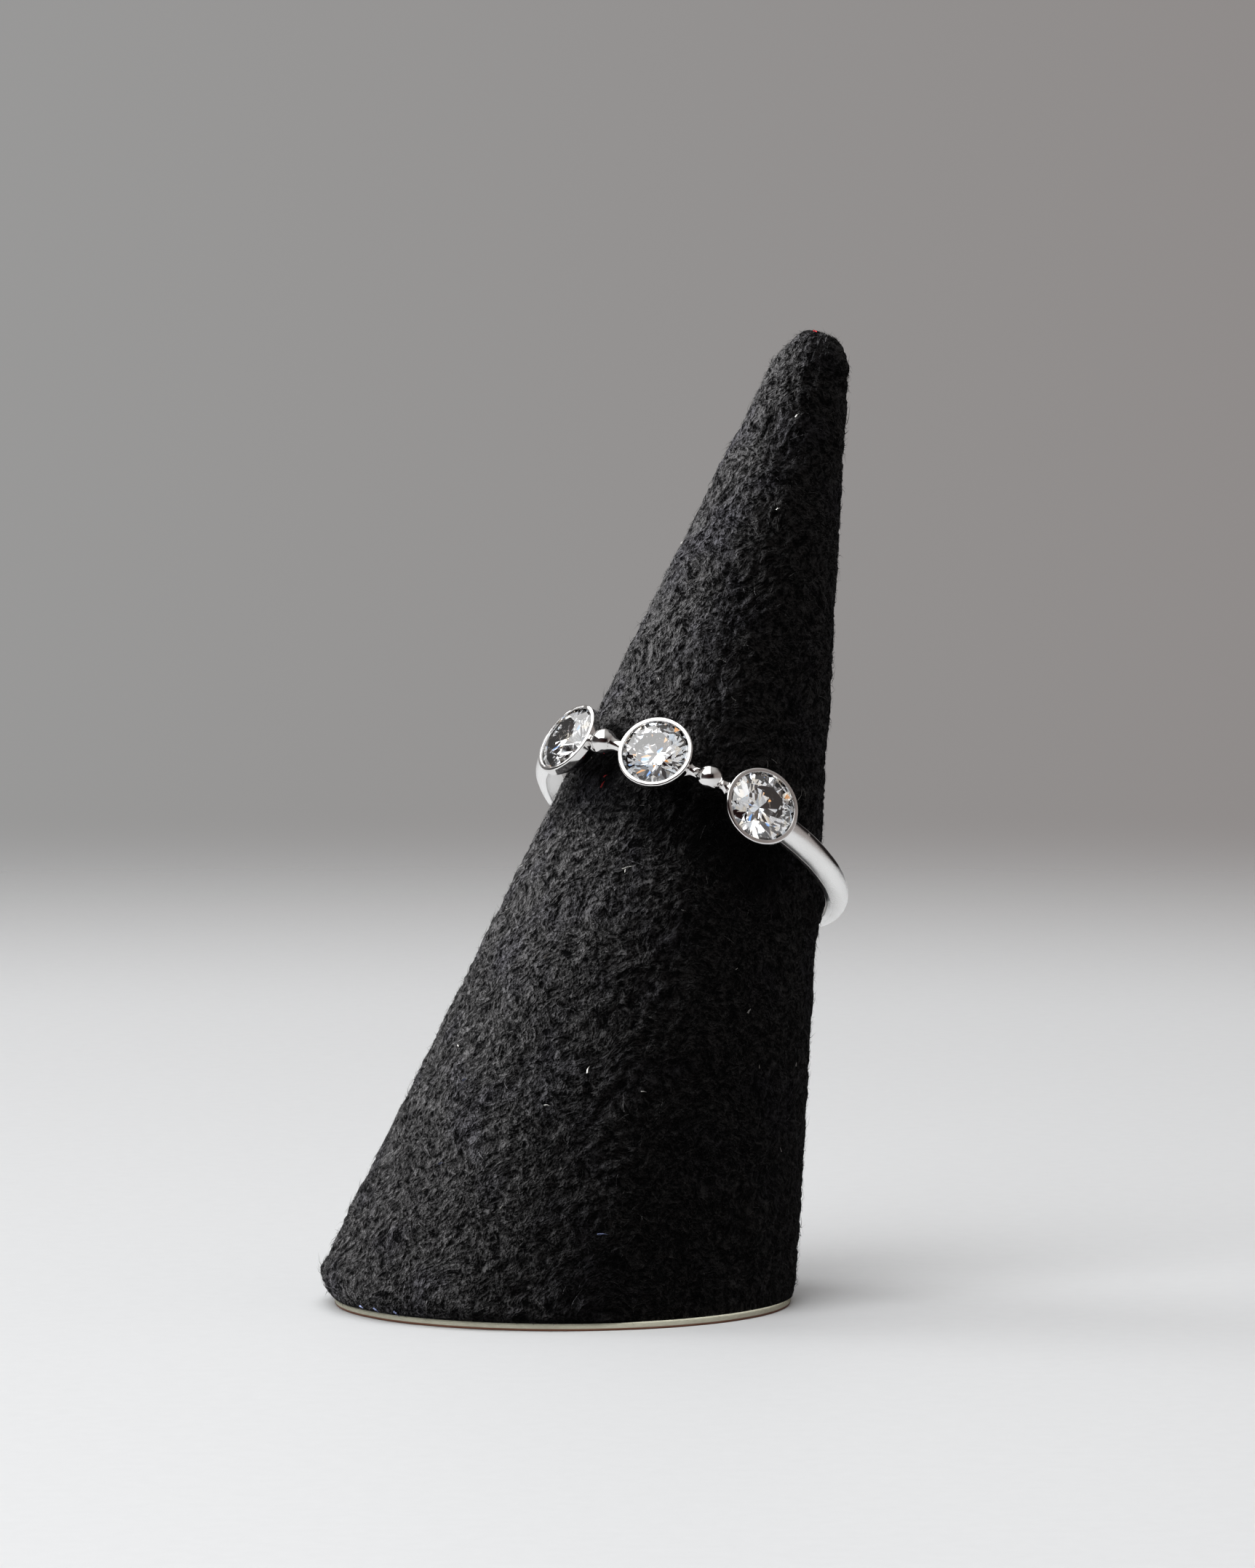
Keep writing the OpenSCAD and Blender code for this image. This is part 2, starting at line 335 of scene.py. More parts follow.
sheet = bpy.data.materials.new("pale_table")
tree = Tree(sheet)
place = tree.millimetres()
far = place.vector_math("LENGTH", out=1)
grain = tree.noise(place, 0.9, 3.0)
pale = tree.mix(grain.ramp(0.2, 0.8), rgb(0.785, 0.80, 0.815), rgb(0.81, 0.825, 0.84))
paper = tree.node("ShaderNodeBsdfPrincipled", {}, {"Base Color": pale, "Roughness": 0.55})
clear = tree.node("ShaderNodeBsdfTransparent")
fade = far.ramp(FADE_FROM, FADE_TO)
fade = fade * fade * (3 - 2 * fade)
tree.finish(tree.node("ShaderNodeMixShader", {}, {0: fade, 1: paper, 2: clear}))
table_mesh.materials.append(sheet)
table.visible_diffuse = False
lit["paper"].objects.link(table)
print("table disc", TABLE_R, "mm")

# %% [markdown]
# Everything on the ring is placed in the ring's own frame, with the finger along Z. One matrix then
# tips that frame into the pose in which the real ring hangs on the cone. The sizes are the same as in
# the part's own source.

# %% The ring's frame
FINGER_R = 8.7
RING_AT = Vector((7.24, 5.63, 25.92))
TIP_BACK, TIP_RIGHT, RING_TURN = radians(-22.2), radians(27.4), radians(-24)

RING_PLACE = (
    Matrix.Translation(RING_AT)
    @ Matrix.Rotation(TIP_RIGHT, 4, "Y")
    @ Matrix.Rotation(TIP_BACK, 4, "X")
    @ Matrix.Rotation(RING_TURN, 4, "Z")
)


def around_finger(turn, out):
    """Point at a turn in degrees from the middle bezel and at a distance from the finger's axis."""
    return Vector((out * sin(radians(turn)), -out * cos(radians(turn)), 0))


print("ring's axis leans", round(RING_PLACE.to_quaternion().angle * 180 / pi, 1), "degrees in all")

# %% [markdown]
# Turned parts, such as a bezel cup or a bead's neck, are drawn as half an outline and spun round an
# axis, just as a lathe would turn them. The outline is a chain of vertices joined by edges. Where
# it starts and ends on the axis the spun form is closed.

# %% A lathe
LATHE_STEPS = 144


def arc(x, y, r, start, end, steps):
    """Points on an arc round (x, y), from start to end in degrees."""
    angles = [radians(start + (end - start) * i / steps) for i in range(steps + 1)]
    return [(x + r * cos(a), y + r * sin(a)) for a in angles]


def lathe(outline, steps=LATHE_STEPS):
    """Spin an outline of (radius, height) points round Z into a closed form."""
    form = bmesh.new()
    chain = [form.verts.new((r, 0, z)) for r, z in outline]
    for first, second in zip(chain, chain[1:]):
        form.edges.new((first, second))
    bmesh.ops.spin(
        form, geom=form.verts[:] + form.edges[:], cent=(0, 0, 0), axis=(0, 0, 1),
        angle=2 * pi, steps=steps, use_merge=True,
    )
    bmesh.ops.remove_doubles(form, verts=form.verts, dist=1e-5)
    bmesh.ops.dissolve_degenerate(form, edges=form.edges, dist=1e-6)
    bmesh.ops.recalc_face_normals(form, faces=form.faces)
    return form


def shape_object(name, form, place=Matrix.Identity(4)):
    """Make an object of a form, with its place in its mesh."""
    bmesh.ops.transform(form, matrix=place, verts=form.verts)
    mesh = bpy.data.meshes.new(name)
    form.to_mesh(mesh)
    form.free()
    made = bpy.data.objects.new(name, mesh)
    bpy.context.collection.objects.link(made)
    return made


print("lathe ready with", LATHE_STEPS, "steps")

# %% [markdown]
# A bezel is a small cup. Its rim is rubbed over the stone's edge and polished, so it is a little
# rounded outside and cut to a bright slope inside. The outer wall drops straight and then tapers to
# a foot. The cup is turned solid first, and its hollow is a second turned form that is cut away
# once the cups, beads and band are one piece, as a setter drills the seat after soldering.

# %% Bezel sizes
BEZELS = {
    "left": {"turn": -38.2, "rise": 1.35, "rim": 2.20, "stone": 2.00, "lean": 0.0},
    "centre": {"turn": 0.0, "rise": 1.70, "rim": 2.12, "stone": 1.93, "lean": 0.0},
    "right": {"turn": 38.2, "rise": 1.35, "rim": 2.20, "stone": 2.00, "lean": 7.0},
}
FOOT_R = 1.45
FOOT_LIFT = 0.05
WALL_DROP = 0.50
RIM_ROUND = 0.08
LIP_OVER = 0.06
LIP_DROP = 0.12
SEAT_DROP = 0.29
SEAT_FIT = 0.03
WELL_R = 1.10
PAVILION = radians(40)


def bezel_place(bezel):
    """Z points out of the finger and is 0 at the rim."""
    return (
        Matrix.Translation(around_finger(bezel["turn"], FINGER_R + bezel["rise"]))
        @ Matrix.Rotation(radians(bezel["turn"]), 4, "Z")
        @ Matrix.Rotation(radians(90 - bezel["lean"]), 4, "X")
        @ Matrix.Rotation(pi / 2, 4, "Z")
    )


def foot_depth(bezel):
    """How far the cup's foot lies below its rim."""
    return bezel["rise"] - FOOT_LIFT - FOOT_R * sin(radians(bezel["lean"]))


def cup_outline(bezel):
    """Outside of a cup, from the middle of its rim to the middle of its foot."""
    rim = bezel["rim"]
    foot = foot_depth(bezel)
    crest = 0.010
    outline = [(0, 0)]
    outline += [(rim - 0.34, 0.0), (rim - 0.26, crest / 2), (rim - 0.16, crest)]
    outline += [(rim - RIM_ROUND, 0.4 * crest)]
    outline += arc(rim - RIM_ROUND, -RIM_ROUND, RIM_ROUND, 80, 0, 7)
    outline += [(rim, 0.06 - WALL_DROP), (rim - 0.008, -WALL_DROP), (rim - 0.03, -WALL_DROP - 0.05)]
    outline += [(FOOT_R + 0.02, 0.05 - foot), (FOOT_R, 0.02 - foot), (FOOT_R - 0.03, -foot), (0, -foot)]
    return outline


def hollow_outline(bezel):
    """What is cut from a cup: its mouth, the stone's seat and the well below."""
    mouth = bezel["stone"] - LIP_OVER
    seat = bezel["stone"] + SEAT_FIT
    soft = 0.03
    outline = [(0, 0.6), (mouth + 0.10, 0.6), (mouth + 0.01 + soft, 0.02)]
    outline += arc(mouth + 0.01 + soft, -soft, soft, 90, 180, 5)
    outline += [(mouth, -LIP_DROP), (seat, -LIP_DROP - SEAT_FIT), (seat, -SEAT_DROP)]
    well = SEAT_DROP + (seat - WELL_R) * tan(PAVILION)
    outline += [(WELL_R, -well), (WELL_R, -bezel["rise"] - 0.8), (0, -bezel["rise"] - 0.8)]
    return outline


for name, bezel in BEZELS.items():
    print(name, "bezel", round(2 * bezel["rim"], 2), "mm across,", round(foot_depth(bezel), 2), "mm deep")

# %% [markdown]
# The band is a half-round wire: flat inside against the finger, domed outside, with its corners
# just broken. Its section is spun round the finger's axis the long way, from inside one side cup to
# inside the other.

# %% Band
BAND_W, BAND_T, BAND_SIDE = 1.58, 0.95, 0.35
BAND_SOFT = 0.07
SHOULDER_TURN = 41.2
BAND_STEPS = 260


def band_outline():
    """Section of the band as (distance from the finger's axis, place along the finger)."""
    rise = BAND_T - BAND_SIDE
    dome = ((BAND_W / 2) ** 2 + rise ** 2) / (2 * rise)
    half = asin(BAND_W / 2 / dome) * 180 / pi
    middle = FINGER_R + BAND_T - dome
    outline = arc(middle, 0, dome, half - 3, 3 - half, 22)
    low = -BAND_W / 2
    outline += arc(FINGER_R + BAND_SIDE - 0.02, low + 0.05, 0.05, -40, -90, 3)
    outline += arc(FINGER_R + BAND_SOFT, low + BAND_SOFT, BAND_SOFT, -90, -180, 4)
    outline += arc(FINGER_R + BAND_SOFT, -low - BAND_SOFT, BAND_SOFT, 180, 90, 4)
    outline += arc(FINGER_R + BAND_SIDE - 0.02, -low - 0.05, 0.05, 90, 40, 3)
    return outline


band_form = bmesh.new()
section = [band_form.verts.new((r, 0, z)) for r, z in band_outline()]
band_face = band_form.faces.new(section)
sweep = radians(360 - 2 * SHOULDER_TURN)
to_shoulder = Matrix.Rotation(radians(SHOULDER_TURN - 90), 3, "Z")
bmesh.ops.rotate(band_form, verts=section, cent=(0, 0, 0), matrix=to_shoulder)
bmesh.ops.spin(
    band_form, geom=[band_face], cent=(0, 0, 0), axis=(0, 0, 1), angle=sweep, steps=BAND_STEPS,
    use_duplicate=False,
)
bmesh.ops.recalc_face_normals(band_form, faces=band_form.faces)
print("band faces", len(band_form.faces), "open edges", sum(e.is_boundary for e in band_form.edges))
band = shape_object("band", band_form)

# %% [markdown]
# Between two cups sits a solid bead, held by a short waisted neck on each side. The waist is an arc
# that is hollow outwards, so it flares where it meets the bead and the wall. A small drop of solder
# was left behind the right cup, on the band's upper edge, where a file does not reach.

# %% Beads and necks
BEAD_R = 0.735
BEAD_OUT = 9.85
BEAD_TURNS = {"left": -20.6, "right": 19.0}
NECK_R = 0.34
NECK_FLARE = 0.20
NECK_ROOT = 0.40
CENTRE_NECK_DROP, SIDE_NECK_DROP = 0.90, 0.62
DROP_R = 0.22
DROP_TURN, DROP_OUT, DROP_UP = 60.0, 9.34, 0.36


def neck_outline(length):
    """A waisted neck with its root inside the bead and its end inside the cup's wall."""
    bow = (length ** 2 / 4 + NECK_FLARE ** 2) / (2 * NECK_FLARE)
    half = asin(length / 2 / bow) * 180 / pi
    waist = arc(NECK_R + bow, length / 2, bow, 180 + half, 180 - half, 14)
    wide = NECK_R + NECK_FLARE
    return [(0, -0.2), (wide, -0.2)] + waist + [(wide, length + NECK_ROOT), (0, length + NECK_ROOT)]


def neck_object(name, bead, bezel, drop):
    """A neck from a bead to a cup, which it meets at a drop below the rim."""
    way = around_finger(bezel["turn"], FINGER_R + bezel["rise"] - drop) - bead
    taper = (bezel["rim"] - FOOT_R) / (foot_depth(bezel) - WALL_DROP)
    wall = way.length - bezel["rim"] + taper * max(0, drop - WALL_DROP)
    start = BEAD_R * 0.66
    turn = Matrix.Rotation(atan2(way.y, way.x), 4, "Z") @ Matrix.Rotation(pi / 2, 4, "Y")
    place = Matrix.Translation(bead) @ turn @ Matrix.Translation((0, 0, start))
    return shape_object(name, lathe(neck_outline(wall - start), 64), place)


solder = []
for side, turn in BEAD_TURNS.items():
    bead_at = around_finger(turn, BEAD_OUT)
    ball = bmesh.new()
    bmesh.ops.create_uvsphere(ball, u_segments=64, v_segments=40, radius=BEAD_R)
    solder.append(shape_object(f"bead_{side}", ball, Matrix.Translation(bead_at)))
    solder.append(neck_object(f"neck_{side}_in", bead_at, BEZELS["centre"], CENTRE_NECK_DROP))
    solder.append(neck_object(f"neck_{side}_out", bead_at, BEZELS[side], SIDE_NECK_DROP))
ball = bmesh.new()
bmesh.ops.create_uvsphere(ball, u_segments=32, v_segments=20, radius=DROP_R)
drop_at = around_finger(DROP_TURN, DROP_OUT) + Vector((0, 0, DROP_UP))
solder.append(shape_object("solder_drop", ball, Matrix.Translation(drop_at)))
print("soldered pieces so far", len(solder) + 1)

# %% Cups and their hollows
cups = []
hollows = []
for name, bezel in BEZELS.items():
    cups.append(shape_object(f"cup_{name}", lathe(cup_outline(bezel)), bezel_place(bezel)))
    hollows.append(shape_object(f"hollow_{name}", lathe(hollow_outline(bezel)), bezel_place(bezel)))
print("cups", len(cups))

# %% [markdown]
# Soldering is a union, and drilling is a difference. Boolean modifiers do both, with the exact
# solver, and the result is taken as a new mesh. Edges sharper than a polished corner stay sharp,
# and all other faces are smooth, which is what makes a reflection run cleanly round a cup.

# %% Soldering
SHARP = radians(28)


def solve(name, base, tools, operation):
    """Apply one boolean per tool to the base and return the result as a new object."""
    for tool in tools:
        step = base.modifiers.new(tool.name, "BOOLEAN")
        step.operation = operation
        step.solver = "EXACT"
        step.object = tool
        step.use_hole_tolerant = True
    ready = base.evaluated_get(bpy.context.evaluated_depsgraph_get())
    mesh = bpy.data.meshes.new_from_object(ready)
    mesh.name = name
    for used in [base] + tools:
        bpy.data.objects.remove(used)
    made = bpy.data.objects.new(name, mesh)
    bpy.context.collection.objects.link(made)
    return made


def settle(thing):
    """Merge what a boolean left double, and keep only its real edges sharp."""
    form = bmesh.new()
    form.from_mesh(thing.data)
    bmesh.ops.remove_doubles(form, verts=form.verts, dist=2e-4)
    bmesh.ops.dissolve_degenerate(form, edges=form.edges, dist=1e-4)
    open_edges = sum(not e.is_manifold for e in form.edges)
    for face in form.faces:
        face.smooth = True
    form.to_mesh(thing.data)
    form.free()
    thing.data.set_sharp_from_angle(angle=SHARP)
    print(thing.name, len(thing.data.polygons), "faces, edges that aren't closed:", open_edges)


ring = solve("ring_metal", band, cups + solder, "UNION")
ring = solve("ring_metal", ring, hollows, "DIFFERENCE")
settle(ring)

# %% [markdown]
# A goldsmith finishes such a ring by hand, with files, wheels and a burnisher, so no face is quite
# true. The whole ring gets a soft wobble of a hundredth of a millimetre, which is enough to make a
# reflection swim. Blender seeds vector noise from the clock, so it gets a seed here. The band is left
# satin, except along its upper edge, where the wheel reached. Its share is an attribute of the mesh.

# %% Hand finish
WOBBLE, WOBBLE_SEED = 0.013, 7
SATIN_FROM, SATIN_TO = 43, 49
SATIN_UP, SATIN_FADE = 0.36, 0.12

noise.seed_set(WOBBLE_SEED)
satin = []
for vert in ring.data.vertices:
    turn = abs(atan2(vert.co.x, -vert.co.y)) * 180 / pi
    share = min(1, max(0, (turn - SATIN_FROM) / (SATIN_TO - SATIN_FROM)))
    satin.append(share * min(1, max(0, (SATIN_UP - vert.co.z) / SATIN_FADE)))
    slow, quick = noise.noise_vector(vert.co * 1.3), noise.noise_vector(vert.co * 3.1)
    vert.co += WOBBLE * slow + 0.4 * WOBBLE * quick
ring.data.attributes.new("satin", "FLOAT", "POINT").data.foreach_set("value", satin)
ring.data.transform(Matrix.Scale(MM, 4) @ RING_PLACE)
print("satin points", sum(share > 0.5 for share in satin), "of", len(satin))
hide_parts("ring_setting")
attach(ring, "root")

# %% [markdown]
# White gold with a rhodium finish mirrors almost everything, slightly warmer than silver. Polishing
# leaves hairlines, so the colour and the roughness vary a little and a fine bump makes the hairlines.
# Where the band is satin it is paler, rougher and frosted.

# %% White gold
FROST_DEPTH = 7.0

gold = bpy.data.materials.new("polished_white_gold")
tree = Tree(gold)
place = tree.millimetres()
cloud = tree.noise(place, 0.8, 3.0)
hairlines = tree.noise(place.vector_math("MULTIPLY", (6.0, 90.0, 30.0)), 1.0, 2.0, 0.6)
tint = tree.mix(cloud.ramp(0.3, 0.7), rgb(0.77, 0.755, 0.745), rgb(0.83, 0.82, 0.81))
satin = tree.node("ShaderNodeAttribute", {"attribute_name": "satin"}, {}, 2)
tint = tree.mix(satin, tint, rgb(0.95, 0.945, 0.935))
frost = tree.noise(place, 22.0, 2.0, 0.7)
polish = 0.035 + 0.03 * cloud + 0.03 * hairlines + satin * (0.16 + 0.14 * frost)
relief = hairlines + satin * frost * FROST_DEPTH
scratch = tree.node("ShaderNodeBump", {}, {"Strength": 0.06, "Distance": 0.00001, "Height": relief})
tree.finish(tree.node("ShaderNodeBsdfPrincipled", {}, {
    "Base Color": tint, "Metallic": 1.0, "Roughness": polish, "Normal": scratch,
}))
ring.data.materials.append(gold)
print("white gold nodes", len(gold.node_tree.nodes))

# %% [markdown]
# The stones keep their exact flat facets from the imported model, because a cut stone is nothing but
# facets. All they need is clear material with a diamond's high refraction. A few facets carry a
# breath of blue or orange, which stands for the fire that a real stone splits from white light.

# %% Brilliants
stone_glass = bpy.data.materials.new("clear_brilliant")
tree = Tree(stone_glass)
place = tree.millimetres()
fire = tree.noise(place, 1.7, 0.0)
tinted = tree.mix(fire.ramp(0.62, 0.66), rgb(0.985, 0.985, 0.99), rgb(0.80, 0.90, 1.0))
tinted = tree.mix((1 - fire).ramp(0.66, 0.70), tinted, rgb(1.0, 0.86, 0.66))
tree.finish(tree.node("ShaderNodeBsdfPrincipled", {}, {
    "Base Color": tinted, "Roughness": 0.0, "IOR": 2.417, "Transmission Weight": 1.0,
}))
for name in ("stone_left", "stone_centre", "stone_right"):
    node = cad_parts[name]
    node.data.materials.clear()
    node.data.materials.append(stone_glass)
    for face in node.data.polygons:
        face.use_smooth = False
    low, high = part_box(name)
    print(name, "box", [round(c / MM, 2) for c in low], [round(c / MM, 2) for c in high])

# %% [markdown]
# The cone is a plain core wrapped in suede. It leans, so its foot is cut at a slant and the suede
# rolls under to the card. A flat grid is laid round the leaning axis row by row, closed at the back
# and at the tip, and then made uneven: suede has soft lumps where the glue or the core is not even,
# and its nap is parted into small pits, which also make the outline rough. It is pressed in behind the
# cups, swells where the band squeezes it, and its tip is worn flat on the left.

# %% The leaning cone
CONE_R = 13.15
CONE_SLOPE = radians(11.4)
CONE_LEN = 54.6
LEAN, LEAN_TURN = radians(17.6), radians(31.9)
AXIS_BACK = 0.60
CARD_D, CARD_T = 25.5, 0.42
FOOT_EDGE_R, FOOT_BULGE_R = 12.85, 13.45
ROLL_R = 2.4
ROLL_IN = FOOT_BULGE_R - FOOT_EDGE_R
ROLL_TOP = CARD_T + sqrt(2 * ROLL_R * ROLL_IN - ROLL_IN ** 2)
TIP_R = (CONE_R - CONE_LEN * tan(CONE_SLOPE)) * cos(CONE_SLOPE)

CONE_FRAME = (
    Matrix.Translation((0, AXIS_BACK, 0))
    @ Matrix.Rotation(LEAN_TURN, 4, "Z")
    @ Matrix.Rotation(LEAN, 4, "Y")
)
AXIS = CONE_FRAME.to_3x3() @ Vector((0, 0, 1))
SIDE_END = CONE_LEN + TIP_R * sin(CONE_SLOPE)


def side_start(turn):
    """How far up the axis the side leaves the card, at a turn round the axis."""
    out = CONE_FRAME.to_3x3() @ Vector((cos(turn), sin(turn), 0))
    return (CARD_T - CONE_R * out.z) / (AXIS.z - tan(CONE_SLOPE) * out.z)


def on_cone(turn, share):
    """Point on the cone: share 0 at the card, 1 at the pole of the tip."""
    start = side_start(turn)
    side = (SIDE_END - start) / cos(CONE_SLOPE)
    cap = TIP_R * (pi / 2 - CONE_SLOPE)
    run = share * (side + cap)
    if run < side:
        up = start + run * cos(CONE_SLOPE)
        out = CONE_R - up * tan(CONE_SLOPE)
    else:
        angle = CONE_SLOPE + (run - side) / TIP_R
        up = CONE_LEN + TIP_R * sin(angle)
        out = TIP_R * cos(angle)
    return CONE_FRAME @ Vector((out * cos(turn), out * sin(turn), up))


def rolled(point):
    """Pull a point in to the rolled edge of the foot."""
    if point.z >= ROLL_TOP:
        return point
    reach = FOOT_BULGE_R - ROLL_R + sqrt(max(0, ROLL_R ** 2 - (ROLL_TOP - point.z) ** 2))
    out = hypot(point.x, point.y)
    pull = min(1, reach / out)
    return Vector((point.x * pull, point.y * pull, point.z))


print("tip radius", round(TIP_R, 2), "mm, roll ends", round(ROLL_TOP, 2), "mm up")

# %% Suede surface
TURNS_AROUND = 330
ROWS_UP = 284
LUMP = 0.09
NAP_OUT = 0.10
PIT = 0.16
PRESS_REACH, PRESS_IN = 1.6, 0.08
# The ring's cast shadow is painted on the suede: its reach round each spot below a cup or bead, its fade,
# and how much it darkens.
SHADE_R, SHADE_FADE, SHADE_DEPTH = 1.3, 2.3, 0.85
BULGE_PIXEL = (1119, 1238)
BULGE, BULGE_R = 0.50, 2.6
WORN_TILT = radians(45)
WORN_OFF, WORN_FLAT = 1.86, 0.85
SHADE_BELOW = Vector((0.3, 0, -2.4))
STONE_POINT = Vector((0, 0, -1.9))


def nap_depth(point):
    """How deep the nap is pressed or parted at a point, from 0 where it stands to 1 in a pit."""
    pits = noise.noise(point * 1.9) + 0.8 * noise.noise(point * 3.7)
    return min(1, max(0, 0.5 - 1.1 * pits))


def shaded(point):
    """Share of the ring's cast shadow painted on the nap at a point, below the cups and beads."""
    near = min((point - spot).length for spot in ring_shadow_spots)
    share = min(1, max(0, (SHADE_R + SHADE_FADE - near) / SHADE_FADE))
    return share * share * (3 - 2 * share)


cone_form = bmesh.new()
bmesh.ops.create_grid(cone_form, x_segments=TURNS_AROUND, y_segments=ROWS_UP, size=0.5)
for vert in cone_form.verts:
    turn = (vert.co.x + 0.5) * 2 * pi
    vert.co = rolled(on_cone(turn, vert.co.y + 0.5))
bmesh.ops.remove_doubles(cone_form, verts=cone_form.verts, dist=0.004)
rim_edges = [e for e in cone_form.edges if e.is_boundary]
bmesh.ops.edgeloop_fill(cone_form, edges=rim_edges)
bmesh.ops.recalc_face_normals(cone_form, faces=cone_form.faces)
cone_form.normal_update()
stone_points = [RING_PLACE @ bezel_place(b) @ STONE_POINT for b in BEZELS.values()]
bead_points = [RING_PLACE @ around_finger(turn, FINGER_R) for turn in BEAD_TURNS.values()]
# Spots a little below the cups and beads, round which the ring's shadow is painted.
ring_shadow_spots = [point + SHADE_BELOW for point in stone_points + bead_points]
bulge_at, _, _, _ = BVHTree.FromBMesh(cone_form).ray_cast(CAMERA_AT, pixel_ray(*BULGE_PIXEL))
for vert in cone_form.verts:
    swell = max(0, 1 - ((vert.co - bulge_at).length / BULGE_R) ** 2)
    vert.co += vert.normal * BULGE * swell ** 2
    if vert.co.z > CARD_T + 0.02:
        soft = noise.noise(vert.co * 0.35) + 0.6 * noise.noise(vert.co * 0.9)
        grow = min(1, (vert.co.z - CARD_T) / 0.6)
        press = min(1, min((vert.co - point).length for point in stone_points) / PRESS_REACH)
        out = press * (NAP_OUT + LUMP * soft) - PIT * nap_depth(vert.co) - PRESS_IN * (1 - press)
        vert.co += vert.normal * grow * out
worn_at = CONE_FRAME @ Vector((0, 0, CONE_LEN))
worn_way = Vector((-sin(WORN_TILT), 0, cos(WORN_TILT)))
for vert in cone_form.verts:
    proud = (vert.co - worn_at).dot(worn_way) - WORN_OFF
    if proud > 0:
        vert.co -= worn_way * proud * WORN_FLAT
for face in cone_form.faces:
    face.smooth = len(face.verts) < 5
suede_tree = BVHTree.FromBMesh(cone_form)
print("suede faces", len(cone_form.faces), "open edges", sum(e.is_boundary for e in cone_form.edges))
# The ring's cast shadow, painted into the suede's colour through this attribute.
dark = [shaded(vert.co) for vert in cone_form.verts]
suede = shape_object("suede_wrap", cone_form, Matrix.Scale(MM, 4))
suede.data.attributes.new("dark", "FLOAT", "POINT").data.foreach_set("value", dark)
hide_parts("suede_cone")
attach(suede, "root")

# %% [markdown]
# Suede seen close is a mat of fine fibres over little pebbles, a third of a millimetre across, where
# the leather's grain and matted fibres stand up. The skin underneath only shows in the gaps, so its
# finish is dark, uneven and without gloss. The pebbles are one pattern that the skin and, later, the
# fibres share: it bumps them, and both are pale on the same pebbles and painted with shade in the same
# pits. The ring's cast shadow is painted below the cups and beads, and the suede is painted paler
# from the foot up to the tip.

# %% Suede skin
FOOT_TONE, TONE_PER_MM = 0.78, 0.018
SWIRL = (3.0, 3.0, 3.0)
VIOLET_SHARE = 0.4


def pebbles(tree, place):
    """Height of the pebbled grain at a place, about 0 in a pit and 1 on a pebble."""
    bend = tree.node("ShaderNodeTexNoise", {}, {"Vector": place, "Scale": 0.3, "Detail": 1.0}, 1)
    swirl = bend.vector_math("SUBTRACT", (0.5, 0.5, 0.5)).vector_math("MULTIPLY", SWIRL)
    turned = {0: place.vector_math("ADD", swirl), "Angle": 0.6}
    flow = tree.node("ShaderNodeVectorRotate", {"rotation_type": "Y_AXIS"}, turned)
    worms = tree.noise(flow.vector_math("MULTIPLY", (2.1, 2.1, 2.8)), 1.0, 2.0, 0.6, 0.6)
    grains = tree.noise(place, 5.2, 2.0, 0.6, 0.5)
    return (worms * 0.6 + grains * 0.4).ramp(0.38, 0.62)


def paler_upwards(tree, place):
    """How much paler the suede is painted at a height, from the foot up to the tip."""
    return FOOT_TONE + TONE_PER_MM * tree.axes(place)[2]


suede_skin = bpy.data.materials.new("charcoal_suede")
tree = Tree(suede_skin)
place = tree.millimetres()
height = pebbles(tree, place)
specks = tree.noise(place, 13.0, 1.0)
dark = tree.node("ShaderNodeAttribute", {"attribute_name": "dark"}, {}, 2)
# Painted shade: the pebbles' pits are darker, the ring's cast shadow is painted below the cups and beads,
# and the suede is painted paler towards the tip.
tone_and_painted_shade = height ** 1.5 * (0.45 + specks * 1.1) * (1 - SHADE_DEPTH * dark) * paler_upwards(tree, place)
shade = tree.mix(tone_and_painted_shade, rgb(0.0006, 0.0006, 0.0007), rgb(0.060, 0.059, 0.060))
violet = tree.noise(place, 0.30, 2.0).ramp(0.50, 0.75) * VIOLET_SHARE
bluish = tree.mix(tone_and_painted_shade, rgb(0.0006, 0.0006, 0.001), rgb(0.046, 0.045, 0.062))
shade = tree.mix(violet, shade, bluish)
mat = tree.node("ShaderNodeBump", {}, {"Strength": 1.0, "Distance": 0.00022, "Height": height})
tree.finish(tree.node("ShaderNodeBsdfPrincipled", {}, {
    "Base Color": shade, "Roughness": 0.9, "Specular IOR Level": 0.05, "Normal": mat,
}))
suede.data.materials.append(suede_skin)
lit["cloth"].objects.link(suede)
print("suede nodes", len(suede_skin.node_tree.nodes))

# %% [markdown]
# The nap itself is modelled. Suede fibres stick together in short tufts that lie nearly flat and
# swirl over the surface like brushed hair. One fibre is a closed three-sided spike with a bend in
# it. A tuft is a handful of fibres that share a direction, a lift and a shade. One fibre in four
# strays from its tuft, and one in twenty is a thicker strand that has worn to grey and lies on top.
# Each is bent and laid with Mesh.transform, which is quick enough for tens of thousands.

# %% One fibre
FIBRE_R = 0.012
STEM = 0.5

spike_form = bmesh.new()
bmesh.ops.create_cone(
    spike_form, cap_ends=True, segments=3, radius1=FIBRE_R, radius2=FIBRE_R * 0.75, depth=STEM,
)
bmesh.ops.translate(spike_form, verts=spike_form.verts, vec=(0, 0, STEM / 2))
spike_top = max(spike_form.faces, key=lambda f: f.calc_center_median().z)
bmesh.ops.poke(spike_form, faces=[spike_top], offset=STEM)
bmesh.ops.triangulate(spike_form, faces=spike_form.faces)
bmesh.ops.recalc_face_normals(spike_form, faces=spike_form.faces)

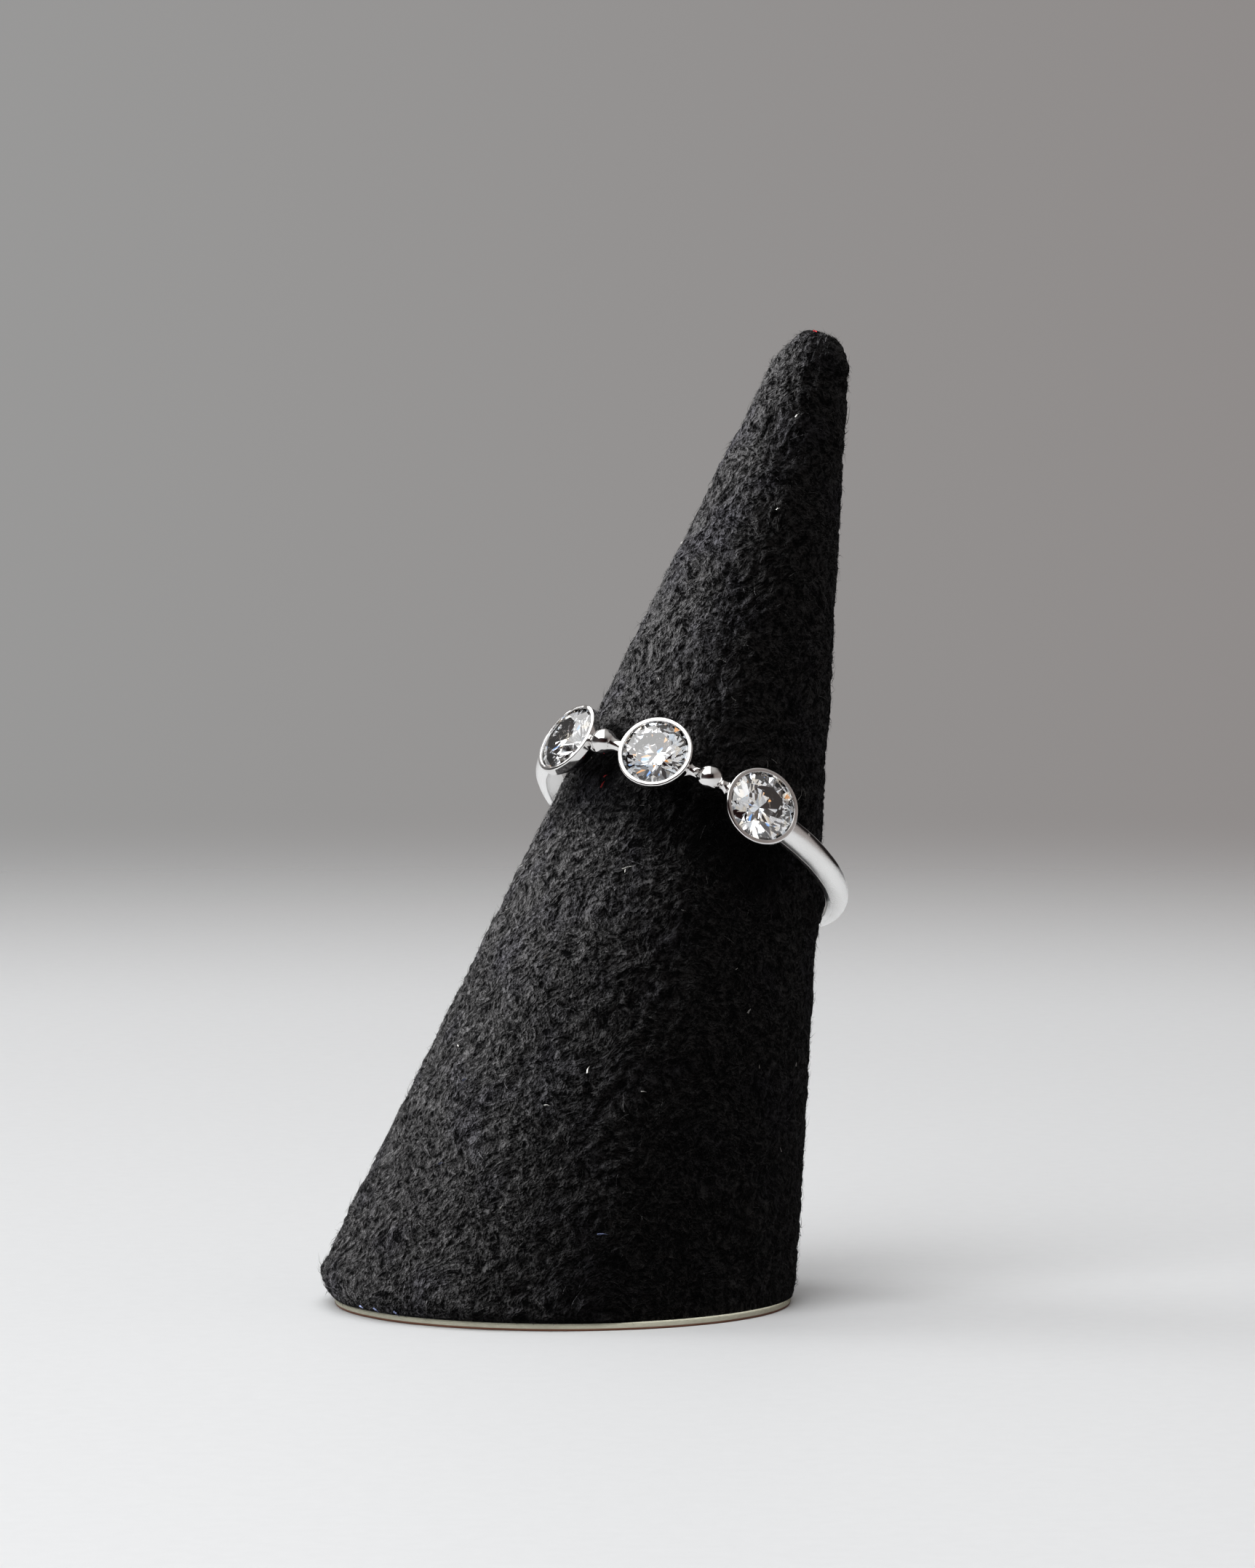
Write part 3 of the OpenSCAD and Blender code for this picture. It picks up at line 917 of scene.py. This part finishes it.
BENDS = [(-0.55, 0.10), (-0.30, 0.20), (0.25, 0.15), (0.60, 0.10), (0.05, 0.35), (0.40, 0.40)]
LINT_BEND = (0.03, 0.01)
spikes = []
for sway, sag in BENDS + [LINT_BEND]:
    bent = spike_form.copy()
    for vert in bent.verts:
        vert.co.x += sway * vert.co.z ** 2
        vert.co.y -= sag * vert.co.z ** 2
    spike = bpy.data.meshes.new("spike")
    bent.to_mesh(spike)
    bent.free()
    straight = np.empty(len(spike.vertices) * 3, np.float32)
    spike.vertices.foreach_get("co", straight)
    spikes.append((spike, straight))
lint_spike = spikes.pop()
SPIKE_FACES = len(spike_form.faces)
SPIKE_VERTS = len(spike_form.verts)
spike_form.free()
print("one fibre has", SPIKE_FACES, "triangles")

# %% Laying the tufts
TUFTS = 14700
FIBRES_IN_TUFT = 4
NAP_PIECES = 3
SHY_OF_PITS = 0.75
LOWEST_ROOT = CARD_T + 0.25
TUFT_TURN = 1.2
THINNING = 1 - TIP_R / CONE_R

random.seed(11)


def skin_at(turn, share):
    """Point and outward direction of the suede's skin."""
    guess = rolled(on_cone(turn, share))
    spot, normal, _, _ = suede_tree.find_nearest(guess)
    return spot, normal


def brushed(point, normal):
    """The way in which the nap is brushed at a point."""
    side = normal.cross(AXIS).normalized()
    angle = 0.9 + 5.0 * noise.noise(point * 0.16) + 2.2 * noise.noise(point * 0.55 + Vector((7, 0, 0)))
    return Matrix.Rotation(angle, 3, normal) @ side


def tuft_start():
    """A place on the cone, spread evenly over its surface and shy of the pits."""
    while True:
        share = random.random()
        turn = random.random() * 2 * pi
        if random.random() < THINNING * share:
            continue
        spot, normal = skin_at(turn, share * 0.99)
        if spot.z > LOWEST_ROOT and random.random() > SHY_OF_PITS * nap_depth(spot):
            return spot, normal


tufts = []
for _ in range(TUFTS):
    spot, normal = tuft_start()
    lie = Matrix.Rotation(random.gauss(0, TUFT_TURN), 3, normal) @ brushed(spot, normal)
    # Each tuft has a random tone, with the ring's cast shadow painted in below the cups and beads.
    light = random.betavariate(1.5, 3.5) * (1 - SHADE_DEPTH * shaded(spot))
    lift, length = abs(random.gauss(0.30, 0.20)), random.uniform(0.22, 0.60)
    tufts.append((spot, normal, lie, lift, length, light))
print("tufts", len(tufts))

# %% Fibres
STRAY = 0.27
WORN_STRANDS = 0.05
WORN_WIDE, WORN_OUT = 1.6, 0.05
TUFT_SIDE, TUFT_BACK, TUFT_AHEAD = 0.07, -0.3, 0.2
FIBRE_TURN = 0.7
TONE_SPREAD = 0.13


def fibre_matrix(root, normal, lie, lift, length):
    """Z of a spike along the fibre, Y away from the skin."""
    grow = (lie * cos(lift) + normal * sin(lift)).normalized()
    across = grow.cross(normal).normalized()
    over = across.cross(grow)
    frame_now = Matrix((across, over, grow)).transposed().to_4x4()
    thick = random.uniform(0.75, 1.3)
    return Matrix.Translation(root) @ frame_now @ Matrix.Diagonal((thick, thick, length, 1))


coats = [bmesh.new() for _ in range(NAP_PIECES)]
shades = [[] for _ in range(NAP_PIECES)]
for number, (spot, normal, lie, lift, length, light) in enumerate(tufts):
    side = normal.cross(lie)
    for _ in range(FIBRES_IN_TUFT):
        out = random.gauss(0, TUFT_SIDE)
        back = random.uniform(TUFT_BACK, TUFT_AHEAD)
        root = spot + side * out + lie * back - normal * random.uniform(0.01, 0.05)
        way = Matrix.Rotation(random.gauss(0, FIBRE_TURN), 3, normal) @ lie
        rise = max(0.0, random.gauss(lift, 0.12))
        long = length * random.uniform(0.6, 1.05)
        if random.random() < STRAY:
            rise += random.uniform(0.3, 1.0)
            long = random.uniform(0.15, 0.38)
            way = Matrix.Rotation(random.uniform(-2, 2), 3, normal) @ lie
        tone, wide = light + random.gauss(0, TONE_SPREAD), 1.0
        if random.random() < WORN_STRANDS:
            tone, wide = 0.2 + 3 * light, WORN_WIDE
            root += normal * WORN_OUT
        spike, straight = random.choice(spikes)
        spike.vertices.foreach_set("co", straight)
        lay = fibre_matrix(root, normal, way, rise, long) @ Matrix.Diagonal((wide, wide, 1, 1))
        spike.transform(Matrix.Scale(MM, 4) @ lay)
        coats[number % NAP_PIECES].from_mesh(spike)
        shades[number % NAP_PIECES].append(min(1, max(0, tone)))
print("fibres", sum(len(s) for s in shades))

# %% Nap pieces
LOWEST_FIBRE = 0.25
nap_pieces = []
for number, (coat, light) in enumerate(zip(coats, shades)):
    for vert in coat.verts:
        vert.co.z = max(vert.co.z, LOWEST_FIBRE * MM)
    mesh = bpy.data.meshes.new(f"suede_nap_{number + 1}")
    coat.to_mesh(mesh)
    coat.free()
    # Each fibre's tone, with the ring's cast shadow painted in, goes to the mesh as an attribute.
    glint = np.repeat(np.array(light, np.float32), SPIKE_VERTS)
    mesh.attributes.new("glint", "FLOAT", "POINT").data.foreach_set("value", glint)
    nap = bpy.data.objects.new(mesh.name, mesh)
    bpy.context.collection.objects.link(nap)
    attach(nap, "root")
    nap_pieces.append(nap)
    print(nap.name, len(mesh.polygons), "triangles")

# %% [markdown]
# Fibres take the dye unevenly. Most are nearly black, a few have worn to grey, and patches lean to
# violet. Each fibre's own tone is an attribute of the mesh, with the ring's cast shadow painted into it
# below the cups and beads. It is multiplied by the pebbles, which paints shade into their pits, by large
# soft clumps and by a ramp that paints the suede paler from the foot up to the tip.

# %% Fibre finish
fibre_skin = bpy.data.materials.new("suede_fibre")
tree = Tree(fibre_skin)
tone_and_shadow_now = tree.node("ShaderNodeAttribute", {"attribute_name": "glint"}, {}, 2)
place = tree.millimetres()
height = pebbles(tree, place)
clumps = tree.noise(place, 0.75, 2.0).ramp(0.30, 0.70)
# Painted shade: fibres are darker in the pebbles' pits, and they are painted paler towards the tip.
light = (0.05 + 1.35 * tone_and_shadow_now ** 1.4) * (0.07 + 1.0 * height) * (0.5 + 0.65 * clumps)
light = light * paler_upwards(tree, place)
leaning = tree.node("ShaderNodeBump", {}, {"Strength": 0.8, "Distance": 0.00016, "Height": height})
shade = tree.mix(light, rgb(0.0015, 0.0015, 0.0016), rgb(0.120, 0.118, 0.118))
violet = tree.noise(place, 0.30, 2.0).ramp(0.50, 0.75) * VIOLET_SHARE
bluish = tree.mix(light, rgb(0.0015, 0.0015, 0.002), rgb(0.092, 0.090, 0.12))
shade = tree.mix(violet, shade, bluish)
tree.finish(tree.node("ShaderNodeBsdfPrincipled", {}, {
    "Base Color": shade, "Roughness": 0.6, "Specular IOR Level": 0.10, "Normal": leaning,
}))
for nap in nap_pieces:
    nap.data.materials.append(fibre_skin)
    lit["cloth"].objects.link(nap)
print("fibre nodes", len(fibre_skin.node_tree.nodes))

# %% [markdown]
# Black suede shows every speck. Bits of lint, a few pale hairs and one red thread cling to the cone in
# the photograph, and show how small it all is. Each is a fibre's spike, only thicker or longer, and
# stands where a ray through its pixel meets the suede.

# %% Lint
WHITE, RED, BLUE = 0.0, 0.5, 1.0
LINT_OUT, LINT_LIFT = 0.18, 0.12
THINNEST_SPECK, SPECK_WIDE = 1.7, 1.9
LINT = [
    # pixel x, pixel y, length in mm, slope in degrees, thickness against a fibre, tone
    (752, 1315, 0.42, 78, 3.2, WHITE), (807, 1472, 0.4, 105, 3.6, WHITE),
    (753, 1520, 0.35, 20, 2.6, WHITE), (632, 1440, 0.28, 160, 2.4, WHITE),
    (641, 1485, 0.3, 40, 2.6, BLUE), (884, 1501, 0.32, 15, 2.2, WHITE), (828, 1697, 0.62, 12, 3.0, BLUE),
    (608, 1600, 0.25, 30, 2.4, BLUE), (585, 1638, 0.22, 60, 2.0, WHITE),
    (1026, 1390, 0.3, 70, 2.4, WHITE), (1040, 1467, 0.2, 120, 1.8, WHITE),
    (1090, 1463, 0.25, 80, 1.8, WHITE), (866, 1193, 0.85, 14, 1.8, WHITE),
    (860, 1197, 0.35, 100, 1.8, WHITE), (830, 1080, 0.42, 95, 3.0, RED), (834, 1068, 0.25, 50, 2.4, RED),
    (1120, 459, 0.22, 10, 2.4, RED), (1094, 572, 0.25, 85, 2.6, WHITE), (948, 722, 0.22, 130, 2.2, RED),
    (940, 749, 0.26, 150, 2.4, WHITE), (970, 792, 0.42, 20, 2.0, WHITE),
    (949, 801, 0.22, 95, 2.2, WHITE), (1068, 700, 0.24, 60, 1.8, WHITE),
    (1055, 1050, 0.5, 60, 1.4, WHITE), (1062, 1046, 0.45, 140, 1.4, WHITE),
    (1098, 1098, 0.75, 12, 1.3, WHITE), (1104, 1090, 0.6, -28, 1.2, WHITE),
    (1080, 1108, 0.6, 25, 1.2, WHITE), (812, 1034, 0.55, 70, 1.3, WHITE),
    (818, 1040, 0.45, 110, 1.2, WHITE), (990, 905, 0.4, 35, 1.4, WHITE),
    (905, 935, 0.34, 150, 1.5, WHITE), (1010, 960, 0.42, 5, 1.3, WHITE),
    (700, 1250, 0.3, 45, 1.6, WHITE), (720, 1190, 0.36, 130, 1.4, WHITE),
    (940, 1250, 0.4, 30, 1.4, WHITE), (520, 1798, 0.4, 8, 2.6, BLUE), (548, 1803, 0.45, -6, 2.6, BLUE),
    (500, 1794, 0.3, 20, 2.2, BLUE), (1010, 1330, 0.34, 65, 1.5, WHITE),
    (1070, 1580, 0.3, 100, 1.6, WHITE), (690, 1660, 0.26, 75, 1.8, WHITE),
]

lint_form = bmesh.new()
tones = []
for x, y, length, slope, thick, tone in LINT:
    spot, normal, _, _ = suede_tree.ray_cast(CAMERA_AT, pixel_ray(x, y))
    if spot is None:
        continue
    way = Vector((cos(radians(slope)), 0, sin(radians(slope))))
    way = (way - normal * way.dot(normal)).normalized()
    is_hair = thick < THINNEST_SPECK
    spike, straight = random.choice(spikes) if is_hair else lint_spike
    spike.vertices.foreach_set("co", straight)
    start = spot + normal * LINT_OUT - way * length / 2
    lay = fibre_matrix(start, normal, way, LINT_LIFT, length)
    wide = thick if is_hair else SPECK_WIDE * thick
    spike.transform(Matrix.Scale(MM, 4) @ lay @ Matrix.Diagonal((wide, wide, 1, 1)))
    lint_form.from_mesh(spike)
    tones.append(tone)
for vert in lint_form.verts:
    vert.co.z = max(vert.co.z, LOWEST_FIBRE * MM)
lint = shape_object("lint", lint_form)
tone_of_verts = np.repeat(np.array(tones, np.float32), SPIKE_VERTS)
lint.data.attributes.new("tone", "FLOAT", "POINT").data.foreach_set("value", tone_of_verts)
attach(lint, "root")

lint_skin = bpy.data.materials.new("lint")
tree = Tree(lint_skin)
tone = tree.node("ShaderNodeAttribute", {"attribute_name": "tone"}, {}, 2)
stops = [(0.0, (0.80, 0.79, 0.76)), (0.5, (0.85, 0.06, 0.07)), (1.0, (0.22, 0.26, 0.46))]
colour = tree.node("ShaderNodeValToRGB", {"stops": stops}, {0: tone})
fuzz = tree.noise(tree.millimetres(), 9.0, 2.0)
colour = tree.mix(fuzz.ramp(0.3, 0.7), tree.mix(0.5, colour, rgb(0.05, 0.05, 0.05)), colour)
tree.finish(tree.node("ShaderNodeBsdfPrincipled", {}, {
    "Base Color": colour, "Roughness": 0.7, "Specular IOR Level": 0.2,
}))
lint.data.materials.append(lint_skin)
lit["cloth"].objects.link(lint)
print("bits of lint", len(tones))

# %% [markdown]
# The base card is cut by hand from thick ivory board. Its edge shows all along the front: pale,
# slightly fibrous, with corners that are a little crushed. A thin brown line is painted along the foot
# of the edge, where the card meets the table.

# %% Base card
CARD_CORNER = 0.07

card_form = bmesh.new()
bmesh.ops.create_cone(
    card_form, cap_ends=True, segments=220, radius1=CARD_D / 2, radius2=CARD_D / 2, depth=CARD_T,
)
bmesh.ops.translate(card_form, verts=card_form.verts, vec=(0, 0, CARD_T / 2))
corners = [e for e in card_form.edges if abs(e.verts[0].co.z - e.verts[1].co.z) < 1e-6]
bmesh.ops.bevel(
    card_form, geom=corners, offset=CARD_CORNER, segments=4, profile=0.5, affect="EDGES", material=-1,
)
for vert in card_form.verts:
    out = hypot(vert.co.x, vert.co.y)
    wave = 0.03 * noise.noise(vert.co * 0.5) + 0.015 * noise.noise(vert.co * 2.5)
    vert.co.x *= 1 + wave / out
    vert.co.y *= 1 + wave / out
for face in card_form.faces:
    face.smooth = len(face.verts) < 5
card = shape_object("card_board", card_form, Matrix.Scale(MM, 4))
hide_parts("base_card")
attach(card, "root")

board = bpy.data.materials.new("ivory_board")
tree = Tree(board)
place = tree.millimetres()
up = tree.axes(place)[2]
fibre = tree.noise(place.vector_math("MULTIPLY", (3.0, 3.0, 16.0)), 1.0, 3.0)
ivory = tree.mix(fibre.ramp(0.3, 0.7), rgb(0.70, 0.69, 0.54), rgb(0.86, 0.85, 0.69))
# A thin brown line painted along the lowest 0.11 to 0.15 mm of the edge, where the card meets the table.
brown_foot_line = (1 - up.ramp(0.11, 0.15))
colour = tree.mix(brown_foot_line, ivory, rgb(0.24, 0.11, 0.07))
press = tree.node("ShaderNodeBump", {}, {"Strength": 0.4, "Distance": 0.00003, "Height": fibre})
tree.finish(tree.node("ShaderNodeBsdfPrincipled", {}, {
    "Base Color": colour, "Roughness": 0.8, "Normal": press,
}))
card.data.materials.append(board)
lit["paper"].objects.link(card)
lit["card"].objects.link(card)
print("card faces", len(card.data.polygons))
